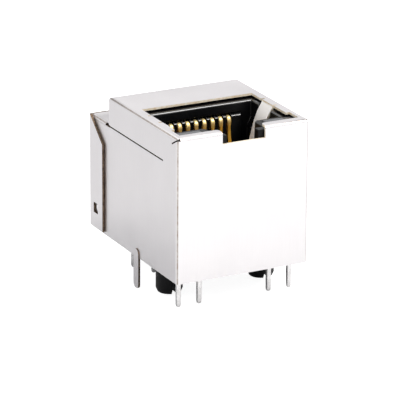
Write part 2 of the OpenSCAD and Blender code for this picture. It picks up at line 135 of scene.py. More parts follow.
def make_piece(name, points, faces, finishes, replaced, finish_of_face=None):
    """A piece from an array of points and a list of faces; all faces take the first finish
    unless their numbers are given."""
    mesh = bpy.data.meshes.new(name)
    mesh.from_pydata(points.reshape(-1, 3).tolist(), [], faces)
    give_finishes(mesh, finishes, np.zeros(len(faces)) if finish_of_face is None else finish_of_face)
    mesh.set_sharp_from_angle(angle=sharp_turn)
    mesh.update()
    return put_in_scene(name, mesh, replaced)


print("piece helpers ready")

# %% A section carried along a path
def rounded_section(count, corner):
    """A closed unit section between -1 and 1: the superellipse |x|^n + |y|^n = 1 with n = corner,
    so 2 is a circle and 8 is nearly a square. Its points run anticlockwise."""
    angle = np.linspace(0, 2 * np.pi, count, endpoint=False)
    c, s = np.cos(angle), np.sin(angle)
    x = np.sign(c) * np.abs(c) ** (2 / corner)
    y = np.sign(s) * np.abs(s) ** (2 / corner)
    return np.stack([x, y], -1)


def swept(path, side, outward, section, half_side, half_out):
    """Points of a section carried along a path: path + side * x * half_side
    + outward * y * half_out, where each half size is one number or one for each station."""
    x = section[None, :, 0, None] * np.reshape(half_side, (-1, 1, 1))
    y = section[None, :, 1, None] * np.reshape(half_out, (-1, 1, 1))
    return path[:, None, :] + side[:, None, :] * x + outward[:, None, :] * y


def along_path(direction, count):
    """The same direction at every station of a straight or plane path."""
    return np.tile(np.array(direction, float), (count, 1))


def swept_faces(rows, cols, closed=False):
    """The quads of a swept section: corner (r, c) is joined to (r, c+1), (r+1, c+1) and (r+1, c),
    where the columns close into rings. A closed path's last row joins the first; an open one
    gets a flat cap at each end."""
    r, c = np.meshgrid(np.arange(rows if closed else rows - 1), np.arange(cols), indexing="ij")
    r2, c2 = (r + 1) % rows, (c + 1) % cols
    corners = [r * cols + c, r * cols + c2, r2 * cols + c2, r2 * cols + c]
    faces = np.stack(corners, -1).reshape(-1, 4).tolist()
    if not closed:
        faces += [list(range(cols))[::-1], list(range((rows - 1) * cols, rows * cols))]
    return faces


print("sweep helpers ready")

# %% [markdown]
# ## Helpers for finishes
#
# A finish is a small tree of nodes. Most of them do one of three things: move a value to another
# range, work out a value from two others, or choose between two colours. Each gets a helper that
# adds the node, feeds it and gives back its output.

# %% Add and feed nodes
def feed(tree, socket, source):
    """Links a socket to another node's output, or sets its own plain value."""
    if isinstance(source, bpy.types.NodeSocket):
        tree.links.new(source, socket)
    else:
        socket.default_value = source


def add(tree, kind, links=(), **settings):
    """A node, with links given as (its input, another node's output). A setting that starts with
    in_ is the plain value of the input of that name, and any other is the node's own."""
    node = tree.nodes.new(kind)
    for key, value in settings.items():
        if key.startswith("in_"):
            node.inputs[key[3:].replace("_", " ")].default_value = value
        else:
            setattr(node, key, value)
    for into, source in links:
        tree.links.new(source, node.inputs[into])
    return node


def ranged(tree, value, low_end, high_end, from_low=0.0, from_high=1.0):
    """The value moved to another range."""
    node = add(tree, "ShaderNodeMapRange", [("Value", value)], in_To_Min=low_end, in_To_Max=high_end,
               in_From_Min=from_low, in_From_Max=from_high)
    return node.outputs["Result"]


def worked_out(tree, operation, *values):
    """The result of a Math node on other nodes' outputs and plain numbers."""
    node = add(tree, "ShaderNodeMath", operation=operation)
    for socket, value in zip(node.inputs, values):
        feed(tree, socket, value)
    return node.outputs["Value"]


def mixed(tree, factor, first, second):
    """A colour between two colours; either may be a fixed colour or another node's output."""
    node = add(tree, "ShaderNodeMix", [("Factor", factor)], data_type="RGBA")
    for socket, colour in ((node.inputs[6], first), (node.inputs[7], second)):
        feed(tree, socket, colour if isinstance(colour, bpy.types.NodeSocket) else (*colour, 1))
    return node.outputs[2]


print("node helpers ready")

# %% [markdown]
# ## Shared effects as node groups
#
# Several finishes need the same three effects. *Drift* is the slow change of tone over a plated
# or moulded surface. *Rolled grain* is the faint set of parallel streaks that the rolling mill
# leaves in sheet. *Scuffs* are sparse fine scratches. Each is built once as a node group that
# gives a value, and each finish mixes it in with its own strength.

# %% Build the groups
def value_group(name, label, kind, default):
    """An empty group that turns a Vector and one named setting into a Value. It comes back with
    the outputs that give the two, and the input that takes the Value."""
    group = bpy.data.node_groups.new(name, "ShaderNodeTree")
    group.interface.new_socket("Vector", in_out="INPUT", socket_type="NodeSocketVector")
    setting = group.interface.new_socket(label, in_out="INPUT", socket_type=kind)
    setting.default_value = default
    group.interface.new_socket("Value", in_out="OUTPUT", socket_type="NodeSocketFloat")
    given = group.nodes.new("NodeGroupInput").outputs
    return group, given["Vector"], given[label], group.nodes.new("NodeGroupOutput").inputs["Value"]


def drift_group():
    """Slow tone change: two octaves of noise at the given feature size, pushed apart to 0..1."""
    tree, vector, scale, value = value_group("drift", "Scale", "NodeSocketFloat", 300.0)
    noise = add(tree, "ShaderNodeTexNoise", [("Vector", vector), ("Scale", scale)],
                in_Detail=2.0, in_Roughness=0.5)
    feed(tree, value, ranged(tree, noise.outputs["Fac"], 0.0, 1.0, 0.3, 0.7))
    return tree


def grain_group():
    """Parallel streaks: noise whose coordinates are squeezed along the rolling direction."""
    tree, vector, stretch, value = value_group("rolled_grain", "Stretch", "NodeSocketVector",
                                               (1, 1, 1))
    squeezed = add(tree, "ShaderNodeVectorMath", [(0, vector), (1, stretch)], operation="MULTIPLY")
    noise = add(tree, "ShaderNodeTexNoise", [("Vector", squeezed.outputs["Vector"])],
                in_Scale=1.0, in_Detail=3.0, in_Roughness=0.6)
    feed(tree, value, noise.outputs["Fac"])
    return tree


def scuff_group():
    """Sparse fine marks: the thin borders of a cell pattern, kept only where a second noise
    allows."""
    tree, vector, scale, value = value_group("scuffs", "Scale", "NodeSocketFloat", 600.0)
    cells = add(tree, "ShaderNodeTexVoronoi", [("Vector", vector), ("Scale", scale)],
                feature="DISTANCE_TO_EDGE")
    thin = ranged(tree, cells.outputs["Distance"], 1.0, 0.0, 0.0, 0.03)
    keep = add(tree, "ShaderNodeTexNoise", [("Vector", vector)], in_Scale=420.0, in_Detail=1.0)
    where = ranged(tree, keep.outputs["Fac"], 0.0, 1.0, 0.55, 0.7)
    feed(tree, value, worked_out(tree, "MULTIPLY", thin, where))
    return tree


drift, rolled_grain, scuffs = drift_group(), grain_group(), scuff_group()
print("groups:", drift.name, rolled_grain.name, scuffs.name)

# %% [markdown]
# ## Starting a finish
#
# Every finish starts the same way: Object coordinates, and one Principled shader with its plain
# numbers set on its own sockets. What varies over the surface is then linked to Base Color,
# Roughness or Normal.

# %% A finish, a placed group, a mask, and what varies
def new_finish(name, **sockets):
    """A material with one Principled shader; returns (material, tree, shader, coordinates)."""
    material = bpy.data.materials.new(name)
    material.use_nodes = True
    tree = material.node_tree
    shader = tree.nodes["Principled BSDF"]
    for label, value in sockets.items():
        shader.inputs[label.replace("_", " ")].default_value = value
    return material, tree, shader, add(tree, "ShaderNodeTexCoord").outputs["Object"]


def placed(tree, group, coords, **values):
    """One use of a group in a material."""
    node = add(tree, "ShaderNodeGroup", node_tree=group)
    tree.links.new(coords, node.inputs["Vector"])
    for label, value in values.items():
        node.inputs[label].default_value = value
    return node.outputs["Value"]


def mask(tree, name):
    """A mask that was written on the mesh, from 0 to 1."""
    return add(tree, "ShaderNodeAttribute", attribute_name=name).outputs["Fac"]


def vary(tree, shader, colour, roughness, height, depth, strength):
    """Links colour and roughness, and a fine relief that feeds the normal; its depth is in
    millimetres."""
    tree.links.new(colour, shader.inputs["Base Color"])
    tree.links.new(roughness, shader.inputs["Roughness"])
    relief = add(tree, "ShaderNodeBump", [("Height", height)], in_Distance=depth * MM,
                 in_Strength=strength)
    tree.links.new(relief.outputs["Normal"], shader.inputs["Normal"])


print("finish helpers ready")

# %% [markdown]
# ## Nickel-plated sheet
#
# The shield is stamped from thin brass strip that was plated with matt nickel before it was cut
# and bent. The plating is a light grey metal with a satin face: it mirrors the room softly. Along
# the crest of each bend a hair-thin brownish line is painted in: painted shade along the bend. The
# mask *crest* is written on the mesh later; here it only mixes the painted shade in. The mask
# *spring* marks the two fingers: their colour is painted paler as a painted highlight, and their
# plating was left duller by the bending, so they are rougher. A metal turns white where it
# is seen at a flat angle; the specular tint holds that back, so the sheet stays grey to its
# outline.

# %% Nickel finish
def nickel_finish():
    """Satin nickel: drift and streaks in the tone, scuffs in the roughness, painted shade on the
    bend crests and a painted highlight on the fingers.
    """
    finish, tree, shader, coords = new_finish("satin_nickel", Metallic=1.0,
                                              Specular_Tint=(0.80, 0.79, 0.80, 1))
    slow = placed(tree, drift, coords, Scale=260.0)
    streaks = placed(tree, rolled_grain, coords, Stretch=(5200.0, 5200.0, 260.0))
    marks = placed(tree, scuffs, coords, Scale=520.0)
    crest_shade_breakup = placed(tree, drift, coords, Scale=3200.0)
    spring = mask(tree, "spring")
    plain = mixed(tree, slow, (0.785, 0.765, 0.772), (0.81, 0.79, 0.797))
    streaky = mixed(tree, ranged(tree, streaks, 0.0, 0.22, 0.35, 0.75), plain, (0.735, 0.715, 0.72))
    # Painted highlight: the fingers' colour is painted paler than the rest of the sheet.
    with_painted_finger_highlight = mixed(tree, spring, streaky, (0.97, 0.95, 0.93))
    # Painted shade: a thin brownish line along each bend's crest.
    painted_crest_shade = worked_out(tree, "MULTIPLY", mask(tree, "crest"), ranged(tree, crest_shade_breakup, 0.6, 1.0))
    colour = mixed(tree, painted_crest_shade, with_painted_finger_highlight, (0.30, 0.25, 0.215))
    satin = worked_out(tree, "ADD", ranged(tree, slow, 0.30, 0.36), ranged(tree, marks, 0.0, 0.08))
    rough = worked_out(tree, "ADD", satin, ranged(tree, spring, 0.0, 0.36))
    vary(tree, shader, colour, rough, streaks, 0.004, 0.6)
    return finish


satin_nickel = nickel_finish()
print("made", satin_nickel.name)

# %% [markdown]
# ## The cut edge of the sheet
#
# A press tool shears about a third of the thickness and tears the rest, so a cut edge is part
# bright brass and part dark, rough fracture. Round the port the edge was coined smooth and shines
# like straw; on the other edges the dark brown line is partly the torn fracture's own tone and
# partly painted shadow of the narrow gap beside the edge.

# %% Brass edge finishes
def edge_finish(name, dark, light, metallic):
    """Brass in two tones that change over a fraction of a millimetre, with a fine torn relief."""
    finish, tree, shader, coords = new_finish(name, Metallic=metallic)
    torn = placed(tree, drift, coords, Scale=2400.0)
    fine = placed(tree, drift, coords, Scale=7000.0)
    vary(tree, shader, mixed(tree, torn, dark, light), ranged(tree, fine, 0.5, 0.7), fine, 0.02, 0.7)
    return finish


coined_brass = edge_finish("coined_brass_edge", (0.85, 0.70, 0.48), (1.0, 0.93, 0.79), 0.35)
# Painted shadow: the dark tones also stand for the shade in the gap beside these edges.
torn_brass_and_gap_shade = edge_finish("torn_edge_and_gap_shade", (0.055, 0.038, 0.026), (0.25, 0.18, 0.125), 1.0)
print("made", coined_brass.name, torn_brass_and_gap_shade.name)

# %% [markdown]
# ## Moulded plastic, gold, tin and resin
#
# The housing is a glass-filled plastic with a smooth black skin that shows sharp reflections on
# its slopes, while its walls were left matt by the mould. The springs are gold over nickel, orange
# on the flanks; their heads are painted pale, as a painted highlight. The posts are dipped in tin,
# which freezes into a soft mottle. The light emitters are cast in clear resin.

# %% Black plastic
def plastic_finish(name, tone, gloss, level):
    """Black moulded plastic: an almost black base, fine mould texture and slow flow marks. The
    level is the strength of its mirror image, and is low where the mould was left matt."""
    finish, tree, shader, coords = new_finish(name, IOR=1.52, Specular_IOR_Level=level)
    flow = placed(tree, drift, coords, Scale=420.0)
    texture = placed(tree, drift, coords, Scale=9000.0)
    colour = mixed(tree, flow, tuple(0.7 * c for c in tone), tone)
    vary(tree, shader, colour, ranged(tree, flow, gloss, gloss + 0.06), texture, 0.001, 0.5)
    return finish


skin_tone, tray_tone = (0.003, 0.003, 0.0035), (0.006, 0.006, 0.007)
glossy_black = plastic_finish("glossy_black_plastic", skin_tone, 0.12, 1.0)
tray_black = plastic_finish("tray_black_plastic", tray_tone, 0.26, 0.5)
matt_black = plastic_finish("matt_black_plastic", skin_tone, 0.34, 0.16)
print("made", glossy_black.name, tray_black.name, matt_black.name)

# %% Gold, tin and resin
def gold_finish():
    """Gold whose tone goes from the flanks' orange to the heads' pale painted highlight over the
    topmost millimetre: the mask is the height above head_foot, over the distance from there to
    head_full."""
    finish, tree, shader, coords = new_finish("spring_gold", Metallic=0.7)
    thin = placed(tree, drift, coords, Scale=900.0)
    height = add(tree, "ShaderNodeSeparateXYZ", [("Vector", coords)]).outputs["Z"]
    spring_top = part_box("contact_1")[1][2]
    head_foot, head_full = spring_top - 1.2 * MM, spring_top - 0.2 * MM
    flank = mixed(tree, thin, (1.0, 0.46, 0.03), (1.0, 0.56, 0.08))
    # Painted highlight: the heads are painted paler than the flanks.
    head = mixed(tree, ranged(tree, height, 0.0, 1.0, head_foot, head_full), flank, (1.0, 0.78, 0.36))
    grain = placed(tree, drift, coords, Scale=6000.0)
    vary(tree, shader, head, ranged(tree, thin, 0.38, 0.44), grain, 0.003, 0.5)
    return finish


def tin_finish():
    """Dipped tin: a mottle in tone, roughness and relief alike."""
    finish, tree, shader, coords = new_finish("dipped_tin", Metallic=1.0)
    mottle = placed(tree, drift, coords, Scale=1500.0)
    colour = mixed(tree, mottle, (0.70, 0.69, 0.69), (0.86, 0.85, 0.85))
    vary(tree, shader, colour, ranged(tree, mottle, 0.2, 0.36), mottle, 0.01, 0.6)
    return finish


def resin_finish():
    """Clear resin with a slight cloud; its faces are too smooth for a relief."""
    finish, tree, shader, coords = new_finish("clear_resin", IOR=1.53, Transmission_Weight=0.3)
    cloud = placed(tree, drift, coords, Scale=700.0)
    colour = mixed(tree, cloud, (0.05, 0.052, 0.065), (0.09, 0.093, 0.11))
    tree.links.new(colour, shader.inputs["Base Color"])
    tree.links.new(ranged(tree, cloud, 0.06, 0.16), shader.inputs["Roughness"])
    return finish


spring_gold, dipped_tin, clear_resin = gold_finish(), tin_finish(), resin_finish()
print("made", spring_gold.name, dipped_tin.name, clear_resin.name)

# %% [markdown]
# ## What lies inside the bay
#
# Behind the port the jack carries its own transformers: ferrite rings wound with lacquered
# copper, a small board, and chip parts. Nothing of it shows from outside, but someone who lifts
# the cover off should find it, so each has its own finish.

# %% Board, ferrite, wire and ceramic
def board_finish():
    """Green lacquer over the two faces, with straw-coloured glass cloth on the sawn sides: the
    mask between them is |z| of the surface's normal."""
    finish, tree, shader, coords = new_finish("green_board", IOR=1.55)
    weave = add(tree, "ShaderNodeTexWave", [("Vector", coords)], in_Scale=900.0, in_Distortion=0.4)
    track = add(tree, "ShaderNodeTexBrick", [("Vector", coords)], in_Scale=260.0, in_Mortar_Size=0.06)
    weave, track = weave.outputs["Fac"], track.outputs["Fac"]
    normal = add(tree, "ShaderNodeNewGeometry").outputs["Normal"]
    across = add(tree, "ShaderNodeSeparateXYZ", [("Vector", normal)]).outputs["Z"]
    lacquer = mixed(tree, track, (0.012, 0.13, 0.05), (0.03, 0.22, 0.09))
    sawn = mixed(tree, weave, (0.45, 0.40, 0.24), (0.60, 0.55, 0.36))
    colour = mixed(tree, worked_out(tree, "ABSOLUTE", across), sawn, lacquer)
    vary(tree, shader, colour, ranged(tree, weave, 0.28, 0.4), track, 0.02, 0.5)
    return finish


def speckled(name, first, second, size, roughness, depth, **sockets):
    """A matt sintered or lacquered surface: two tones in fine speckles with a matching relief."""
    finish, tree, shader, coords = new_finish(name, **sockets)
    speck = placed(tree, drift, coords, Scale=size)
    rough = ranged(tree, speck, roughness, roughness + 0.12)
    vary(tree, shader, mixed(tree, speck, first, second), rough, speck, depth, 0.6)
    return finish


green_board = board_finish()
ferrite_grey = speckled("ferrite_grey", (0.035, 0.035, 0.04), (0.07, 0.07, 0.075), 5200.0, 0.5,
                        0.02)
red_lacquer = speckled("red_lacquer", (0.42, 0.05, 0.02), (0.55, 0.10, 0.04), 1800.0, 0.2, 0.004,
                       Coat_Weight=0.6)
green_lacquer = speckled("green_lacquer", (0.02, 0.20, 0.07), (0.04, 0.30, 0.12), 1800.0, 0.2, 0.004,
                         Coat_Weight=0.6)
resistor_black = speckled("resistor_black", (0.03, 0.03, 0.032), (0.06, 0.06, 0.06), 4200.0, 0.35,
                          0.01)
capacitor_tan = speckled("capacitor_tan", (0.42, 0.31, 0.20), (0.50, 0.38, 0.26), 3600.0, 0.45,
                         0.01)
print("made", green_board.name, ferrite_grey.name, red_lacquer.name, green_lacquer.name,
      resistor_black.name, capacitor_tan.name)

# %% [markdown]
# ## Welded copies of the solids
#
# A solid arrives as loose triangles with hard corners. Where its shape is already right, a welded
# copy is enough: the triangles are merged, flat areas are joined into single faces, and a Bevel
# modifier rounds each corner by a few hundredths of a millimetre, because real corners are never
# perfectly sharp and that thin round is what catches the light. Weighted normals keep the large
# faces flat.

# %% Weld, join and bevel
weld_distance = 0.0005 * MM
flat_turn, crease_turn = math.radians(0.5), math.radians(40)


def round_corners(piece, radius, segments):
    """A live Bevel on every corner that turns by more than sharp_turn, radius in millimetres."""
    rounding = piece.modifiers.new("rounding", "BEVEL")
    rounding.width = radius * MM
    rounding.segments = segments
    rounding.limit_method = "ANGLE"
    rounding.angle_limit = sharp_turn


def welded_copy(node_name, name, finishes, radius, segments=2):
    """A welded copy of one solid with rounded corners, which stands for that solid."""
    mesh = nodes[node_name].data.copy()
    mesh.name = name
    work = bmesh.new()
    work.from_mesh(mesh)
    bmesh.ops.remove_doubles(work, verts=work.verts, dist=weld_distance)
    bmesh.ops.dissolve_limit(work, angle_limit=flat_turn, verts=work.verts, edges=work.edges)
    work.to_mesh(mesh)
    work.free()
    mesh.materials.clear()
    give_finishes(mesh, finishes, np.zeros(len(mesh.polygons)))
    mesh.set_sharp_from_angle(angle=crease_turn)
    piece = put_in_scene(name, mesh, [node_name])
    if radius:
        round_corners(piece, radius, segments)
    piece.modifiers.new("flat_faces", "WEIGHTED_NORMAL").keep_sharp = True
    print(name, "faces:", len(mesh.polygons))
    return piece


print("welding helpers ready")

# %% [markdown]
# ## Telling sheet from cut edge
#
# On a shield made from one thickness of sheet, a face is a cut edge when the metal behind it is
# deeper than the sheet is thick. From a point of each face a ray goes straight into the metal,
# and the distance to the first face that it meets tells which it is. All rays are tested against
# all triangles at once, as arrays.

# %% Measure the metal behind each face
ray_start = 0.001 * MM
parallel = 1e-16  # A ray whose determinant is smaller runs along the triangle and can't meet it.


def from_mesh(items, what, width, kind=float):
    """One property of all of a mesh's items, as an array with one row for each."""
    values = np.empty(len(items) * width, kind)
    items.foreach_get(what, values)
    return values.reshape(-1, width)


def depth_behind(mesh):
    """Distance from each face straight back through the metal: the first hit of the ray
    p - n t with the triangles a + u e1 + v e2, solved as one array of determinants. The ray
    starts in the middle of the face's largest triangle."""
    mesh.calc_loop_triangles()
    corner = from_mesh(mesh.loop_triangles, "vertices", 3, np.int32)
    owner = from_mesh(mesh.loop_triangles, "polygon_index", 1, np.int32).ravel()
    triangle = from_mesh(mesh.vertices, "co", 3)[corner]
    normal = from_mesh(mesh.polygons, "normal", 3)
    a = triangle[:, 0]
    e1, e2 = triangle[:, 1] - a, triangle[:, 2] - a
    by_size = np.argsort(np.linalg.norm(np.cross(e1, e2), axis=1))
    largest = np.zeros(len(normal), int)
    largest[owner[by_size]] = by_size
    start = triangle[largest].mean(1) - normal * ray_start
    ray = -normal[:, None, :]
    cross2 = np.cross(ray, e2[None])
    det = (e1[None] * cross2).sum(-1)
    det = np.where(np.abs(det) < parallel, np.nan, det)
    gap = start[:, None, :] - a[None]
    u = (gap * cross2).sum(-1) / det
    cross1 = np.cross(gap, e1[None])
    v = (ray * cross1).sum(-1) / det
    t = (e2[None] * cross1).sum(-1) / det
    inside = (u >= 0) & (v >= 0) & (u + v <= 1) & (t > 0)
    return np.nanmin(np.where(inside, t, np.inf), 1)


print("depth test ready")

# %% Mark cut edges, crests and fingers
sheet_t, cut_depth = 0.25 * MM, 2.2
crest_from, crest_over = 0.12, 0.08
side_band, front_band, rear_band = 0.75 * MM, 0.5 * MM, 15.5 * MM
finger_inset, finger_front, finger_back, finger_drop = 1.0 * MM, -0.6 * MM, 2.4 * MM, 0.02 * MM


def mark_edges_and_crests(piece, coined, spared):
    """A face is cut where the metal behind it is deeper than cut_depth sheets, unless the last
    rule spares it. Cut faces take the second finish where they were coined and the third where
    they were torn. The mask 'crest' is on the box's outer bends: 1 - max |n| is 0 on a flat face
    and 0.29 in the middle of a bend, and the mask rises from crest_from over crest_over. The
    mask 'spring' is 1 on the two fingers, which lie nearer the middle than any bend of the
    box."""
    mesh = piece.data
    centre, normal = from_mesh(mesh.polygons, "center", 3), from_mesh(mesh.polygons, "normal", 3)
    across, along, rise = np.abs(centre[:, 0]), centre[:, 1], centre[:, 2]
    cut = (depth_behind(mesh) > cut_depth * sheet_t) & ~spared(centre)
    # The third finish's dark tone is partly painted shadow of the gap beside the edge.
    finish_of_face = np.where(cut, np.where(coined(centre), 1, 2), 0)
    mesh.polygons.foreach_set("material_index", finish_of_face.astype(np.int32))
    finger = (across < high[0] - finger_inset) & (along > finger_front) & (along < finger_back)
    finger &= rise < high[2] - finger_drop
    outer = (across > high[0] - side_band) | (along < low[1] + front_band)
    outer |= along > low[1] + rear_band
    # The mask 'crest' places the painted shade line along the outer bends.
    bend = np.clip((1 - np.abs(normal).max(1) - crest_from) / crest_over, 0, 1)
    crest = bend * (outer & ~cut & ~finger)
    for name, values in (("crest", crest), ("spring", finger & ~cut)):
        written = mesh.attributes.new(name, "FLOAT", "FACE")
        written.data.foreach_set("value", values.astype(np.float32))
    print(piece.name, "cut-edge faces:", int(cut.sum()), "crest faces:", int((crest > 0).sum()),
          "of", len(cut))


print("sheet", sheet_t / MM, "mm thick; a cut edge is deeper than", cut_depth * sheet_t / MM, "mm")

# %% Dress the two shields
coined_depth, coined_inset = 9 * MM, 1 * MM
ramp_reach, ramp_foot = 0.29 * MM, 1.5 * MM
sheet_finishes = [satin_nickel, coined_brass, torn_brass_and_gap_shade]


def round_the_port(at):
    """Where the cut edge was coined: down to the middle of the box, inside its side walls."""
    return (at[:, 2] > high[2] - coined_depth) & (np.abs(at[:, 0]) < high[0] - coined_inset)


def on_the_ramps(at):
    """The two ramps that snap into the cover: pressed out of the wall, they keep their plating."""
    return (np.abs(at[:, 0]) > high[0] - ramp_reach) & (at[:, 2] > ramp_foot)


def nowhere(at):
    """A rule that picks no face."""
    return np.zeros(len(at), bool)


front_piece = welded_copy("front_shield", "front_shield_sheet", sheet_finishes, 0)
mark_edges_and_crests(front_piece, round_the_port, on_the_ramps)
rear_piece = welded_copy("rear_shield", "rear_shield_sheet", sheet_finishes, 0)
mark_edges_and_crests(rear_piece, nowhere, nowhere)

# %% [markdown]
# ## Moulded and cast pieces
#
# A mould is polished only where the plastic has to slide or shine, so the housing's slopes and
# the comb's top are glossy, and their upright walls are matt. On the housing, the level faces and
# all that stands below the board's top are matt too. A face's finish is chosen from its height
# and from |z| of its normal, which is 0 on an upright wall and 1 on a level face.

# %% Dress the moulded pieces
peg_top = -0.2
upright, level = 0.2, 0.95


def matt_where(piece, rule):
    """Gives the second finish to the faces that the rule picks from their height in millimetres
    and from |z| of their normals."""
    polygons = piece.data.polygons
    height = from_mesh(polygons, "center", 3)[:, 2] / MM
    matt = rule(height, np.abs(from_mesh(polygons, "normal", 3)[:, 2]))
    polygons.foreach_set("material_index", matt.astype(np.int32))
    print(piece.name, "matt faces:", int(matt.sum()))


def housing_rule(z, nz):
    """The pegs, the upright walls and the level faces."""
    return (z < peg_top) | (nz < upright) | (nz > level)


def comb_rule(z, nz):
    """The upright walls."""
    return nz < upright


pair = [glossy_black, matt_black]
housing_piece = welded_copy("port_housing", "port_housing_moulding", pair, 0.08)
matt_where(housing_piece, housing_rule)
comb_piece = welded_copy("contact_insert", "contact_comb_moulding", pair, 0.05)
matt_where(comb_piece, comb_rule)
welded_copy("pin_carrier", "pin_carrier_moulding", [tray_black], 0.05)
for side in ("left", "right"):
    welded_copy("led_" + side, "led_" + side + "_resin", [clear_resin], 0.12, 3)

# %% [markdown]
# ## The eight spring contacts
#
# Each contact is one strip of spring wire: a leg stands in the comb, turns over in a tight loop,
# and runs down into the port at a slant, where the plug's blades press on it. The strip is wide
# and domed at the loop, waisted below it and a little wider again further down. It is a path in
# the Y-Z plane worked out from lengths and turns, and a rounded section carried along it.

# %% A path from lengths and turns
def bent_path(start, heading, stretches, finest=5.0, fewest=3):
    """Stations along a bent strip. Each stretch (length, turn) is divided so that one piece turns
    by less than `finest` degrees; the headings are the running sum of the turns, and the
    stations the running sum of length * (cos, sin)."""
    pieces = [max(fewest, math.ceil(abs(turn_by) / finest)) for _, turn_by in stretches]
    length = np.repeat([s[0] / n for s, n in zip(stretches, pieces)], pieces)
    turn_by = np.radians(np.repeat([s[1] / n for s, n in zip(stretches, pieces)], pieces))
    end = math.radians(heading) + np.cumsum(turn_by)
    middle = end - turn_by / 2
    move = length[:, None] * np.stack([np.cos(middle), np.sin(middle)], -1)
    stations = np.vstack([start, start + np.cumsum(move, 0)])
    return stations, np.concatenate([[math.radians(heading)], end])


print("bent path ready")

# %% Make the contacts
strip_t, strip_w, loop_r = 0.28, 0.46, 0.45
slanted_leg = [(0.9, 0), (1.2, -14), (2.6, -10), (2.2, 0)]
depth_below_top, share_of_width = [0.75, 1.3, 1.9], [1.0, 0.62, 0.8]
leg_share = 0.8
leg_stations = 4  # A straight stretch is three pieces long, so it has four stations.
ribbon_section = rounded_section(24, 3.2)
contact_nodes = ["contact_%d" % i for i in range(1, 9)]
for node in contact_nodes:
    lo, hi = box_in_mm(node)
    leg = hi[2] - strip_t / 2 - loop_r - lo[2]
    line, angle = bent_path(np.array([hi[1] - strip_t / 2, lo[2]]), 90,
                            [(leg, 0), (math.pi * loop_r, 180)] + slanted_leg)
    count = len(line)
    path = np.column_stack([np.full(count, (lo[0] + hi[0]) / 2), line])
    outward = np.column_stack([np.zeros(count), np.sin(angle), -np.cos(angle)])
    waisted = np.interp(hi[2] - line[:, 1], depth_below_top, share_of_width)
    half_w = strip_w / 2 * np.where(np.arange(count) < leg_stations, leg_share, waisted)
    side = along_path([1, 0, 0], count)
    points = swept(path, side, outward, ribbon_section, half_w, strip_t / 2) * MM
    make_piece(node + "_spring", points, swept_faces(*points.shape[:2]), [spring_gold],
               [node])
print("contacts made:", len(contact_nodes), "stations each:", count)

# %% [markdown]
# ## Tinned posts
#
# The light emitters' leads and the signal pins are square wire, cropped to a blunt tapered tip
# and dipped in tin. The section is a square with soft corners that shrinks over the last quarter
# millimetre.

# %% Make the posts
tip_length, tip_share = 0.26, 0.62
tip_stations = [0, 0.02, 0.05, 0.1, 0.17, tip_length]
shaft_from, shaft_stations = 0.5, 14
square_section = rounded_section(24, 6)


def post(node):
    """A square post along Z in the node's box, whose tip narrows as the square root of the
    distance from its end, like a rounded point."""
    lo, hi = box_in_mm(node)
    shaft = np.linspace(shaft_from, hi[2] - lo[2], shaft_stations)
    up_from_tip = np.concatenate([tip_stations, shaft])
    count = len(up_from_tip)
    tapered = tip_share + (1 - tip_share) * np.sqrt(up_from_tip / tip_length)
    half = (hi[0] - lo[0]) / 2 * np.where(up_from_tip < tip_length, tapered, 1.0)
    path = along_path((lo + hi) / 2, count)
    path[:, 2] = lo[2] + up_from_tip
    side, outward = along_path([1, 0, 0], count), along_path([0, 1, 0], count)
    points = swept(path, side, outward, square_section, half, half) * MM
    make_piece(node + "_post", points, swept_faces(*points.shape[:2]), [dipped_tin],
               [node])


post_nodes = sorted(n for n in nodes if n.endswith("_lead") or n.startswith("signal_pin_"))
for node in post_nodes:
    post(node)
print("posts made:", len(post_nodes))

# %% [markdown]
# ## Wound rings
#
# A winding is one wire that climbs over the ring and back through its hole, turn beside turn. Its
# path goes round the ring once while it goes round the ring's section many times, and a small
# round section is carried along it. The ring itself is a welded copy with rounded corners.

# %% Make the windings
hole_share, steps_a_turn, square_power = 0.46, 36, 0.45
wire_section = rounded_section(8, 2)


def unit_rows(vectors):
    """Each row divided by its own length."""
    return vectors / np.linalg.norm(vectors, axis=1, keepdims=True)


def winding(node, core_node, turns, finish):
    """A closed tube round a ring. With t from 0 to 1, the ring angle is 2 pi t and the section
    angle 2 pi t turns; the section path is a superellipse, so the wire hugs a square section."""
    lo, hi = box_in_mm(core_node)
    outer = (hi[0] - lo[0]) / 2
    inner = hole_share * outer
    wire_r = (box_in_mm(node)[1][2] - hi[2]) / 2
    count = turns * steps_a_turn
    t = np.arange(count) / count
    ring, around = 2 * np.pi * t, 2 * np.pi * t * turns
    c, s = np.cos(around), np.sin(around)
    half_r, half_z = (outer - inner) / 2 + wire_r, (hi[2] - lo[2]) / 2 + wire_r
    along_r = np.sign(c) * np.abs(c) ** square_power
    along_z = np.sign(s) * np.abs(s) ** square_power
    e_r = np.column_stack([np.cos(ring), np.sin(ring), np.zeros(count)])
    path = (lo + hi) / 2 + e_r * ((outer + inner) / 2 + half_r * along_r)[:, None]
    path[:, 2] += half_z * along_z
    tangent = unit_rows(np.roll(path, -1, 0) - np.roll(path, 1, 0))
    outward = e_r * c[:, None] + np.array([0, 0, 1]) * s[:, None]
    outward = unit_rows(outward - tangent * (outward * tangent).sum(1, keepdims=True))
    points = swept(path, np.cross(outward, tangent), outward, wire_section, wire_r, wire_r) * MM
    make_piece(node + "_wire", points, swept_faces(*points.shape[:2], True), [finish], [node])


ways = (("transmit", red_lacquer, "red_wire"), ("receive", green_lacquer, "green_wire"))
for way, finish, slot in ways:
    for kind, turns in (("transformer", 16), ("choke", 10)):
        core = "%s_%s_core" % (way, kind)
        welded_copy(core, core + "_ring", [ferrite_grey], 0.08)
        winding("%s_%s_winding" % (way, kind), core, turns, finish)

# %% [markdown]
# ## The board and its chip parts
#
# A chip part is a small ceramic block whose two ends are dipped in tin. It is a rounded section
# carried from end to end, a little fatter where the tin is, and its faces choose between the two
# finishes by their place along it.

# %% Make the board and the chips
cap_share, cap_step, corner_step = 0.2, 0.02, 0.03
end_insets = [0.06, 0.02, 0, 0, cap_step]
block_section = rounded_section(24, 8)


